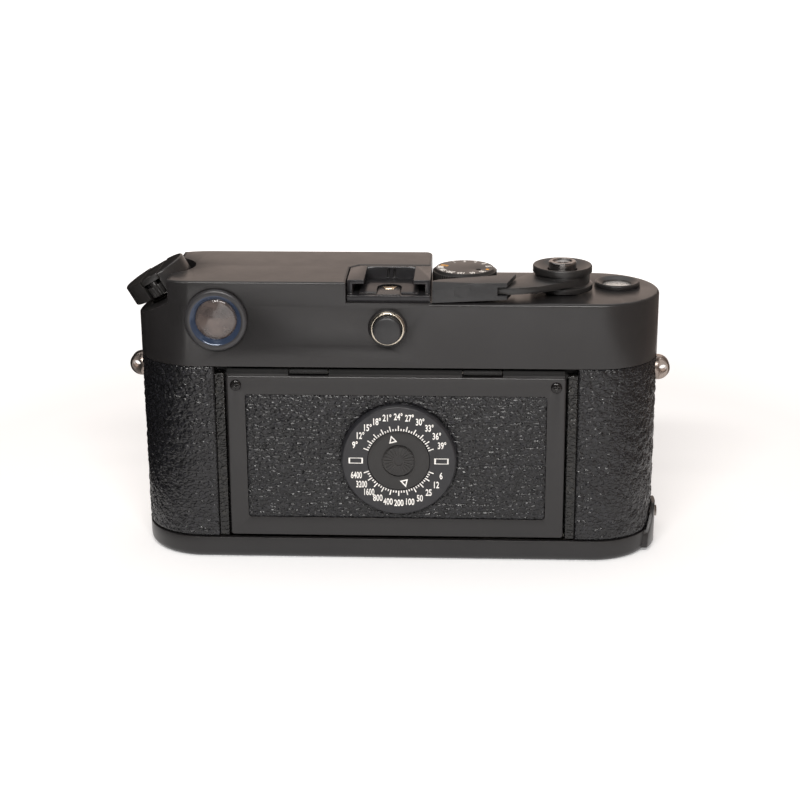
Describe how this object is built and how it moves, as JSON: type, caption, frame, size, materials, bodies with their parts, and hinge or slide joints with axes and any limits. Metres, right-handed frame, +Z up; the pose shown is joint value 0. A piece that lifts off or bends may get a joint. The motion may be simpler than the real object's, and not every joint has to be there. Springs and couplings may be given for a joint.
{
  "type": "rangefinder camera",
  "caption": "Rangefinder film camera body with tilted rewind knob, hinged back door with film-speed dial, accessory shoe and advance lever.",
  "frame": {"origin": "middle of the underside of the baseplate", "axes": "+Z up; +X along the camera's length, to the right seen from the lens side; -Y towards the subject"},
  "size_m": [0.1452, 0.0394, 0.0798],
  "materials": {
    "black_paint": "satin black paint",
    "black_leather": "grained black leather",
    "black_anodised": "black anodised, fine turned",
    "chassis_black": "matt black light-proof paint",
    "steel": "plain steel",
    "chrome_plate": "bright chrome",
    "black_steel": "blackened steel",
    "brass_part": "plain brass",
    "black_plastic": "matt black plastic",
    "white_disc": "matt white",
    "clear_glass": "coated glass",
    "circuit": "circuit board",
    "cloth": "rubberised black cloth",
    "cell": "battery cell"
  },
  "bodies": {
    "camera_body": {"body_shell": "black_paint", "body_covering": "black_leather", "chassis": "chassis_black", "top_cover": "black_paint", "door_side_rails": "black_leather", "door_hinge_bracket": "black_steel", "door_hinge_pin": "steel", "shutter_curtains": "cloth", "curtain_drums": "steel", "lens_mount_ring": "chrome_plate", "mount_screws": "steel", "finder_bracket": "steel", "finder_prisms": "clear_glass", "front_windows": "clear_glass", "meter_board": "circuit", "accessory_shoe": "black_steel", "shoe_spring": "black_steel", "shoe_contact": "brass_part", "counter_bezel": "black_anodised", "counter_window": "clear_glass", "rewind_bearing": "steel", "eyepiece_ring": "black_anodised", "eyepiece_lens": "clear_glass", "sync_socket": "chrome_plate", "battery_cell": "cell", "lens_release_guard": "black_anodised", "strap_lugs": "steel", "baseplate_stud": "steel"},
    "back_door": {"back_door": "black_paint", "door_covering": "black_leather", "door_screws": "black_steel", "film_speed_ring": "black_anodised", "pressure_plate": "black_steel", "pressure_springs": "steel"},
    "film_speed_dial": {"film_speed_dial": "black_anodised"},
    "baseplate": {"baseplate": "black_paint", "tripod_bush": "steel"},
    "base_lock": {"base_lock_key": "black_anodised", "base_lock_cam": "steel"},
    "base_lock_bail": {"base_lock_bail": "steel"},
    "advance_lever": {"advance_lever": "black_anodised", "lever_tip_pin": "steel"},
    "lever_tip": {"lever_tip": "black_plastic"},
    "shutter_button": {"shutter_button": "chrome_plate"},
    "speed_dial": {"speed_dial": "black_anodised"},
    "rewind_knob": {"rewind_knob": "black_anodised", "rewind_shaft": "chrome_plate"},
    "rewind_crank": {"rewind_crank": "black_anodised"},
    "crank_grip": {"crank_grip": "black_anodised"},
    "rewind_fork": {"rewind_fork": "brass_part"},
    "take_up_spool": {"take_up_spool": "black_plastic"},
    "sprocket_drum": {"sprocket_drum": "steel"},
    "idler_gear": {"idler_gear": "brass_part"},
    "counter_disc": {"counter_disc": "white_disc"},
    "rangefinder_arm": {"rangefinder_arm": "steel"},
    "sync_cap": {"sync_cap": "black_plastic"},
    "battery_cap": {"battery_cap": "black_anodised"},
    "frame_selector_lever": {"frame_selector_lever": "black_anodised"},
    "rewind_release_lever": {"rewind_release_lever": "black_anodised"},
    "lens_release_button": {"lens_release_button": "chrome_plate"}
  },
  "joints": [
    {"name": "back_door_hinge", "type": "hinge", "parent": "camera_body", "child": "back_door", "pos_m": [0, 0.0157, 0.0527], "axis": [1, 0, 0], "range_deg": [0, 90]},
    {"name": "film_speed_turn", "type": "hinge", "parent": "back_door", "child": "film_speed_dial", "pos_m": [-0.0008, 0.01675, 0.029], "axis": [0, 1, 0], "range_deg": [-84, 54]},
    {"name": "baseplate_swing", "type": "hinge", "parent": "camera_body", "child": "baseplate", "pos_m": [-0.06925, 0, 0.0118], "axis": [0, 1, 0], "range_deg": [0, 20]},
    {"name": "base_lock_turn", "type": "hinge", "parent": "baseplate", "child": "base_lock", "pos_m": [0.0515, 0, 0.001], "axis": [0, 0, 1], "range_deg": [0, 180]},
    {"name": "base_lock_bail_fold", "type": "hinge", "parent": "base_lock", "child": "base_lock_bail", "pos_m": [0.0515, 0, 0.00085], "axis": [0, 1, 0], "range_deg": [0, 90]},
    {"name": "advance_lever_stroke", "type": "hinge", "parent": "camera_body", "child": "advance_lever", "pos_m": [-0.0434, 0.0008, 0.074], "axis": [0, 0, 1], "range_deg": [0, 126], "stiffness_Nm_per_rad": 0.01, "springref_deg": -17.19},
    {"name": "lever_tip_swing", "type": "hinge", "parent": "advance_lever", "child": "lever_tip", "pos_m": [-0.0272, 0.0112, 0.074], "axis": [0, 0, 1], "range_deg": [0, 28]},
    {"name": "shutter_button_press", "type": "slide", "parent": "camera_body", "child": "shutter_button", "axis": [0, 0, -1], "range_m": [0, 0.0018], "stiffness_N_per_m": 300, "springref_m": -0.002},
    {"name": "speed_dial_turn", "type": "hinge", "parent": "camera_body", "child": "speed_dial", "pos_m": [-0.0177, -0.002, 0.074], "axis": [0, 0, 1], "range_deg": [-144, 144]},
    {"name": "rewind_knob_turn", "type": "hinge", "parent": "camera_body", "child": "rewind_knob", "pos_m": [0.0623, 0, 0.0708], "axis": [0.5, 0, 0.866], "continuous": true},
    {"name": "rewind_crank_fold", "type": "hinge", "parent": "rewind_knob", "child": "rewind_crank", "pos_m": [0.06465, -0.0064, 0.07487], "axis": [0.866, 0, -0.5], "range_deg": [0, 150]},
    {"name": "crank_grip_spin", "type": "hinge", "parent": "rewind_crank", "child": "crank_grip", "pos_m": [0.0633, 0.007, 0.07253], "axis": [0.5, 0, 0.866], "continuous": true},
    {"name": "rewind_fork_turn", "type": "hinge", "parent": "camera_body", "child": "rewind_fork", "pos_m": [0.0515, 0, 0.055], "axis": [0, 0, 1], "continuous": true},
    {"name": "take_up_turn", "type": "hinge", "parent": "camera_body", "child": "take_up_spool", "pos_m": [-0.0434, 0.0008, 0.03], "axis": [0, 0, 1], "range_deg": [0, 320]},
    {"name": "sprocket_turn", "type": "hinge", "parent": "camera_body", "child": "sprocket_drum", "pos_m": [-0.0252, 0.0024, 0.03], "axis": [0, 0, 1], "range_deg": [0, 361]},
    {"name": "idler_turn", "type": "hinge", "parent": "camera_body", "child": "idler_gear", "pos_m": [-0.03034, -0.00333, 0.057], "axis": [0, 0, 1], "range_deg": [-300, 0]},
    {"name": "counter_turn", "type": "hinge", "parent": "camera_body", "child": "counter_disc", "pos_m": [-0.05817, -0.00321, 0.069], "axis": [0, 0, 1], "range_deg": [0, 9.5]},
    {"name": "rangefinder_arm_swing", "type": "hinge", "parent": "camera_body", "child": "rangefinder_arm", "pos_m": [0.0018, -0.0098, 0.0584], "axis": [1, 0, 0], "range_deg": [0, 12], "stiffness_Nm_per_rad": 0.005, "springref_deg": -17.19},
    {"name": "sync_cap_pull", "type": "slide", "parent": "camera_body", "child": "sync_cap", "axis": [0, 1, 0], "range_m": [0, 0.008]},
    {"name": "battery_cap_unscrew", "type": "hinge", "parent": "camera_body", "child": "battery_cap", "pos_m": [0.0325, -0.01675, 0.015], "axis": [0, -1, 0], "range_deg": [0, 360]},
    {"name": "frame_selector_swing", "type": "hinge", "parent": "camera_body", "child": "frame_selector_lever", "pos_m": [0.0292, -0.017, 0.0395], "axis": [0, 1, 0], "range_deg": [-25, 25], "stiffness_Nm_per_rad": 0.01},
    {"name": "rewind_release_swing", "type": "hinge", "parent": "camera_body", "child": "rewind_release_lever", "pos_m": [-0.0295, -0.017, 0.0435], "axis": [0, 1, 0], "range_deg": [0, 75]},
    {"name": "lens_release_press", "type": "slide", "parent": "camera_body", "child": "lens_release_button", "axis": [0, 1, 0], "range_m": [0, 0.0015], "stiffness_N_per_m": 400, "springref_m": -0.001}
  ],
  "couplings": [
    {"joint": "rewind_fork_turn", "follows": "rewind_knob_turn", "ratio": -1},
    {"joint": "take_up_turn", "follows": "advance_lever_stroke", "ratio": 2.5},
    {"joint": "sprocket_turn", "follows": "advance_lever_stroke", "ratio": 2.8571},
    {"joint": "idler_turn", "follows": "advance_lever_stroke", "ratio": -2.35},
    {"joint": "counter_turn", "follows": "advance_lever_stroke", "ratio": 0.07143}
  ]
}
